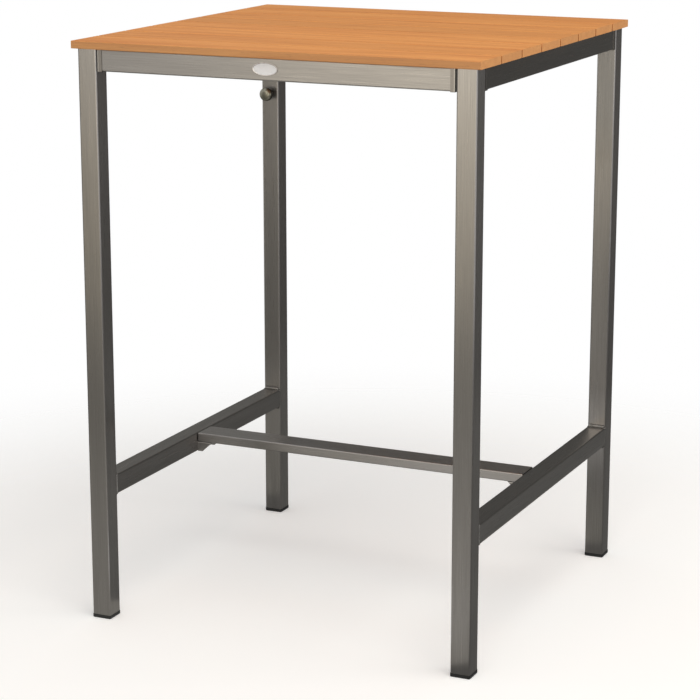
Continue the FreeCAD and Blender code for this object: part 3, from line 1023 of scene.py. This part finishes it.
def screw_head(radius, height):
    """An upright screw head: a disc with a rounded rim and a cross recess, sunk at its back.

    It is shaped with a radius of 1 and then scaled.
    """
    arm, half_slot = 0.55, 0.13  # reach of the cross, and half the width of its arms
    face_radius = 0.86
    recess_depth, recess_taper = 0.3, 0.8
    sunk = 0.4 * MM
    shape = bmesh.new()
    bmesh.ops.create_grid(shape, x_segments=5, y_segments=5, size=1.0)
    # the grid's lines at 0.2 and 0.6 become the cross's sides and ends, and its border a circle
    for vert in shape.verts:
        for axis in (0, 1):
            line = abs(vert.co[axis])
            if line < 0.9:
                vert.co[axis] = math.copysign(half_slot if line < 0.4 else arm, vert.co[axis])
        if max(abs(vert.co.x), abs(vert.co.y)) > 0.9:
            vert.co = vert.co.normalized() * face_radius
    border = [edge for edge in shape.edges if edge.is_boundary]
    cross = []
    for face in shape.faces:
        middle = face.calc_center_median()
        if min(abs(middle.x), abs(middle.y)) < half_slot and middle.length < arm:
            cross.append(face)
    pushed = bmesh.ops.extrude_face_region(shape, geom=cross)
    bottom = made_parts(pushed, bmesh.types.BMVert)
    bmesh.ops.translate(shape, verts=bottom, vec=(0, 0, -recess_depth))
    bmesh.ops.scale(shape, verts=bottom, vec=(recess_taper, recess_taper, 1))
    bmesh.ops.delete(shape, geom=cross, context="FACES_ONLY")
    # the rings of the rim: how far each drops, and its radius
    level = height / radius
    previous = face_radius
    for drop, ring_radius in (
        (0.3 * level, 0.96),
        (0.4 * level, 1.0),
        (0.3 * level + sunk / radius, 1.0),
    ):
        border = raise_ring(shape, border, -drop, ring_radius / previous)
        previous = ring_radius
    bmesh.ops.edgeloop_fill(shape, edges=border)
    bmesh.ops.scale(shape, verts=shape.verts, vec=(radius, radius, radius))
    bmesh.ops.translate(shape, verts=shape.verts, vec=(0, 0, height))
    bmesh.ops.recalc_face_normals(shape, faces=shape.faces)
    return part_mesh(shape)


class PUBTABLE_OT_screws(bpy.types.Operator):
    """Countersunk screws up through the battens and pan-head screws in the angles"""

    bl_idname = "pub_table.screws"
    bl_label = "Small Screws"

    def execute(self, context):
        settings = context.scene.pub_table_fittings
        countersunk_height, pan_height = 0.25 * MM, 1.8 * MM
        countersunk = screw_head(settings.wood_screw_diameter / 2, countersunk_height)
        pan = screw_head(settings.angle_screw_diameter / 2, pan_height)
        # the angles' sheet, and where their screws sit from the corner and from the middle
        sheet, from_corner, from_middle = 2.5 * MM, 12 * MM, 6.5 * MM
        battens, inner_slats = range(1, 4), range(2, 8)
        angle_low, angle_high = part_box("top_angles")
        down = Vector((0, 0, -1))
        shape = bmesh.new()
        for batten in battens:
            low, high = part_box(f"batten_{batten}")
            middle = (low.x + high.x) / 2
            for slat in inner_slats:
                slat_low, slat_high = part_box(f"slat_{slat}")
                place = Vector((middle, (slat_low.y + slat_high.y) / 2, low.z))
                add_copy(shape, countersunk, place, down)
            for end in (angle_low.y, angle_high.y):
                inward = -math.copysign(1.0, end)
                for x in (middle - from_middle, middle + from_middle):
                    place = Vector((x, end + inward * from_corner, angle_high.z - sheet))
                    add_copy(shape, pan, place, down)
                    place = Vector((x, end + inward * sheet, angle_high.z - from_corner))
                    add_copy(shape, pan, place, Vector((0, inward, 0)))
        bpy.data.meshes.remove(countersunk)
        bpy.data.meshes.remove(pan)
        keep_piece("top_screws", shape, [headed_stainless()])
        return {"FINISHED"}


# ---------------------------------------------------------------- studio

LAMP_AIM = Vector((0, 0, 0.6))  # what the soft boxes face

# soft boxes: name, azimuth, elevation, distance, size, radiance, colour, if matt surfaces see it
LAMPS = (
    ("key_softbox", 38, 60, 4.2, (3.0, 2.4), 2.9, "#FFFAF2", True),
    ("front_softbox", 0, 12, 4.6, (4.4, 2.4), 1.55, "#FFF3DA", False),
    ("side_softbox", 96, 22, 4.4, (2.4, 2.0), 2.0, "#FFFCF7", True),
)

# glowing upright cards that only reflections see, painted reflections: name, colour,
# middle of their ring, azimuth on it, distance from it, size
CARDS = (
    ("right_card", "#656461", (0, 0, 1.5), 160, 1.7, (4.0, 3.0)),
    ("back_card", "#8E8D89", (0, 0, 1.8), 215, 3.2, (5.0, 3.6)),
    ("left_card", "#71706D", (0, -0.72, 0.62), -90, 0.95, (0.85, 1.0)),
    ("back_right_card", "#DCD9CC", (0.17, -0.3, 0.91), 0, 0.0, (0.36, 0.26)),
    # painted shade: a dark card that only the back left leg's front reflects
    ("back_left_card", "#504F4C", (-0.72, -0.3, 0.55), 0, 0.0, (0.31, 0.85)),
)

# glowing mats just above the floor, painted reflections of the floor with its shade and light:
# name, colour, middle, radius, and the colour and middle of a painted pool of light
MATS = (
    ("front_mat", "#9E9C95", (-1.11, -1.96, 2 * MM), 2.1, "#D4D1CA", (0.5, -0.9, 0)),
    ("far_mat", "#F2E8D2", (-2.6, -6.3, 3 * MM), 3.75),
    ("floor_mat", "#7E7D7A", (0, 0, 1 * MM), 3.3),
    ("left_foot_mat", "#A4A29B", (-0.52, 0.08, 4 * MM), 0.2),
    ("right_foot_mat", "#A4A29B", (0.28, 0.09, 4 * MM), 0.2),
    # painted shade: the floor under the table, darker in reflections
    ("inner_mat", "#7E7D7A", (-0.22, -0.16, 5 * MM), 0.17),
    # painted light: a white patch that the crossbar's front reflects
    ("bar_mat", "#FFFFFF", (0.02, -0.5, 4 * MM), 0.2),
)


def soft_box(name, azimuth, elevation, distance, size, radiance, colour, lights_matt):
    """A lamp that faces the table.

    Azimuth 0 is in front and 90 to the right, and a radiance of 1 is white.
    """
    data = bpy.data.lights.new(name, "AREA")
    data.shape = "RECTANGLE"
    data.size, data.size_y = size
    data.energy = radiance * math.pi * size[0] * size[1]
    data.color = linear(colour)
    box = bpy.data.objects.new(name, data)
    turn, lift = math.radians(azimuth), math.radians(elevation)
    level = math.cos(lift)
    back = Vector((math.sin(turn) * level, -math.cos(turn) * level, math.sin(lift)))
    box.location = LAMP_AIM + back * distance
    box.rotation_euler = (-back).to_track_quat("-Z", "Y").to_euler()
    box.visible_diffuse = lights_matt
    bpy.context.scene.collection.objects.link(box)


def glowing_reflection_card(name, colour, middle, azimuth, distance, size):
    """An upright glowing card round the table that only reflections see: a painted reflection
    that shapes the light and dark on the metal, where studios use plain cards.
    """
    turn = Matrix.Rotation(math.radians(azimuth), 3, "Z")
    shape = bmesh.new()
    bmesh.ops.create_grid(shape, x_segments=1, y_segments=1, size=0.5)
    bmesh.ops.scale(shape, verts=shape.verts, vec=(*size, 1))
    bmesh.ops.rotate(shape, verts=shape.verts, cent=(0, 0, 0), matrix=TO_FRONT)
    bmesh.ops.translate(shape, verts=shape.verts, vec=(0, -distance, 0))
    bmesh.ops.rotate(shape, verts=shape.verts, cent=(0, 0, 0), matrix=turn)
    bmesh.ops.translate(shape, verts=shape.verts, vec=middle)
    keep_card(name, shape, colour)


def glowing_reflection_mat(name, colour, middle, radius, light_pool_colour=None, light_pool=None):
    """A round glowing mat just above the floor that only reflections see: a painted reflection of
    the floor, with a painted pool of light round one place if one is given.
    """
    shape = bmesh.new()
    bmesh.ops.create_circle(shape, cap_ends=True, radius=radius, segments=96)
    bmesh.ops.translate(shape, verts=shape.verts, vec=middle)
    keep_card(name, shape, colour, light_pool_colour, light_pool)


def keep_card(name, shape, colour, light_pool_colour=None, light_pool=None):
    """Turns a card's or mat's shape into a glowing object that only reflections see."""
    material, tree, surface = new_material(name)
    shader = add_node(tree, "ShaderNodeEmission", {"Color": (*linear(colour), 1.0)})
    tree.links.new(shader.outputs["Emission"], surface)
    # painted pool of light: the colour grows lighter towards the given place
    if light_pool_colour:
        light_pool_reach = 1.7
        place = add_node(tree, "ShaderNodeTexCoord").outputs["Object"]
        away = add_node(
            tree,
            "ShaderNodeVectorMath",
            {1: light_pool},
            {0: place},
            operation="DISTANCE",
        )
        fade = add_node(
            tree,
            "ShaderNodeMapRange",
            {"From Max": light_pool_reach},
            {"Value": away.outputs["Value"]},
        )
        grey = add_node(
            tree,
            "ShaderNodeMix",
            {"A": (*linear(light_pool_colour), 1.0), "B": (*linear(colour), 1.0)},
            {"Factor": fade.outputs["Result"]},
            data_type="RGBA",
        )
        tree.links.new(grey.outputs["Result"], shader.inputs["Color"])
    card = new_object(name, shape, [material])
    card.visible_camera = False
    card.visible_diffuse = False
    card.visible_shadow = False
    card.visible_transmission = False


def seen_or_reflected(tree):
    """1 where the eye sees a surface, straight, in a mirror or through glass, and 0 elsewhere."""
    path = add_node(tree, "ShaderNodeLightPath")
    seen = add_node(
        tree,
        "ShaderNodeMath",
        links={0: path.outputs["Is Camera Ray"], 1: path.outputs["Is Glossy Ray"]},
        operation="MAXIMUM",
    )
    return add_node(
        tree,
        "ShaderNodeMath",
        links={0: seen.outputs[0], 1: path.outputs["Is Transmission Ray"]},
        operation="MAXIMUM",
    ).outputs[0]


class PUBTABLE_OT_stage(bpy.types.Operator):
    """Floor, background, lamps, cards and camera"""

    bl_idname = "pub_table.stage"
    bl_label = "Studio"

    def execute(self, context):
        settings = context.scene.pub_table_studio
        self.make_camera(context, settings)
        self.make_floor(settings)
        self.make_background(context, settings)
        context.scene.view_settings.view_transform = "Standard"
        for lamp in LAMPS:
            soft_box(*lamp)
        for card in CARDS:
            glowing_reflection_card(*card)
        for mat in MATS:
            glowing_reflection_mat(*mat)
        return {"FINISHED"}

    def make_camera(self, context, settings):
        """A camera with a plain upright film, at the height of standing eyes."""
        data = bpy.data.cameras.new("camera")
        data.lens = settings.lens
        data.sensor_width = 36.0
        data.clip_end = 100.0
        camera = bpy.data.objects.new("camera", data)
        camera.location = settings.camera_place
        camera.rotation_euler = (math.radians(90) - settings.camera_dip, 0, settings.camera_turn)
        context.scene.collection.objects.link(camera)
        context.scene.camera = camera

    def make_floor(self, settings):
        """A pale matt floor that fades into the white background away from the table."""
        material, tree, surface = new_material("floor_paper_matt")
        place = add_node(tree, "ShaderNodeTexCoord").outputs["Object"]
        reach = add_node(tree, "ShaderNodeVectorMath", links={0: place}, operation="LENGTH")
        fade_start, fade_end = settings.floor_radius * 0.45, settings.floor_radius * 0.98
        fade = add_node(
            tree,
            "ShaderNodeMapRange",
            {"From Min": fade_start, "From Max": fade_end},
            {"Value": reach.outputs["Value"]},
            interpolation_type="SMOOTHSTEP",
        )
        colour = (*settings.floor_colour, 1.0)
        paper = add_node(tree, "ShaderNodeBsdfDiffuse", {"Color": colour})
        lift = add_node(
            tree,
            "ShaderNodeMath",
            {1: settings.floor_lift},
            {0: seen_or_reflected(tree)},
            operation="MULTIPLY",
        )
        glow = add_node(tree, "ShaderNodeEmission", links={"Strength": lift.outputs[0]})
        bright = add_node(
            tree,
            "ShaderNodeAddShader",
            links={0: paper.outputs["BSDF"], 1: glow.outputs["Emission"]},
        )
        clear = add_node(tree, "ShaderNodeBsdfTransparent")
        both = add_node(
            tree,
            "ShaderNodeMixShader",
            links={
                0: fade.outputs["Result"],
                1: bright.outputs["Shader"],
                2: clear.outputs["BSDF"],
            },
        )
        tree.links.new(both.outputs["Shader"], surface)
        shape = bmesh.new()
        bmesh.ops.create_circle(shape, cap_ends=True, radius=settings.floor_radius, segments=96)
        floor = new_object("floor", shape, [material])

    def make_background(self, context, settings):
        """White to the eye and in reflections, a softer grey as light on matt surfaces."""
        world = bpy.data.worlds.new("studio")
        world.use_nodes = True
        tree = world.node_tree
        tree.nodes.clear()
        output = add_node(tree, "ShaderNodeOutputWorld")
        strength = add_node(
            tree,
            "ShaderNodeMapRange",
            {"To Min": settings.ambient, "To Max": 1.0},
            {"Value": seen_or_reflected(tree)},
        )
        light = add_node(
            tree,
            "ShaderNodeBackground",
            {"Color": (1.0, 1.0, 1.0, 1.0)},
            {"Strength": strength.outputs["Result"]},
        )
        tree.links.new(light.outputs["Background"], output.inputs["Surface"])
        context.scene.world = world


class PUBTABLE_PT_panel(bpy.types.Panel):
    """The table's pieces and settings"""

    bl_idname = "PUBTABLE_PT_panel"
    bl_label = "Pub Table"
    bl_space_type = "VIEW_3D"
    bl_region_type = "UI"
    bl_category = "Pub Table"

    def draw(self, context):
        layout = self.layout
        for operator in OPERATORS:
            layout.operator(operator.bl_idname)
        for name in SETTINGS:
            group = getattr(context.scene, name)
            box = layout.box()
            box.label(text=group.__doc__)
            for key in group.__annotations__:
                box.prop(group, key)


SETTINGS = {
    "pub_table_studio": StudioSettings,
    "pub_table_steel": SteelSettings,
    "pub_table_wood": WoodSettings,
    "pub_table_fittings": FittingSettings,
}
OPERATORS = (
    PUBTABLE_OT_stage,
    PUBTABLE_OT_frame,
    PUBTABLE_OT_joints,
    PUBTABLE_OT_welds,
    PUBTABLE_OT_top,
    PUBTABLE_OT_screws,
    PUBTABLE_OT_glides,
    PUBTABLE_OT_knob,
    PUBTABLE_OT_badge,
)
CLASSES = (*SETTINGS.values(), *OPERATORS, PUBTABLE_PT_panel)


def register():
    """Adds the classes, and the settings to the scene."""
    for made in CLASSES:
        bpy.utils.register_class(made)
    for name, group in SETTINGS.items():
        setattr(bpy.types.Scene, name, PointerProperty(type=group))


def unregister():
    """Takes the settings and the classes away again."""
    for name in SETTINGS:
        delattr(bpy.types.Scene, name)
    for made in reversed(CLASSES):
        bpy.utils.unregister_class(made)


def main():
    """Makes the studio and dresses the table."""
    register()
    bpy.ops.pub_table.stage()
    bpy.ops.pub_table.frame()
    bpy.ops.pub_table.joints()
    bpy.ops.pub_table.welds()
    bpy.ops.pub_table.top()
    bpy.ops.pub_table.screws()
    bpy.ops.pub_table.glides()
    bpy.ops.pub_table.knob()
    bpy.ops.pub_table.badge()


if __name__ == "__main__":
    main()
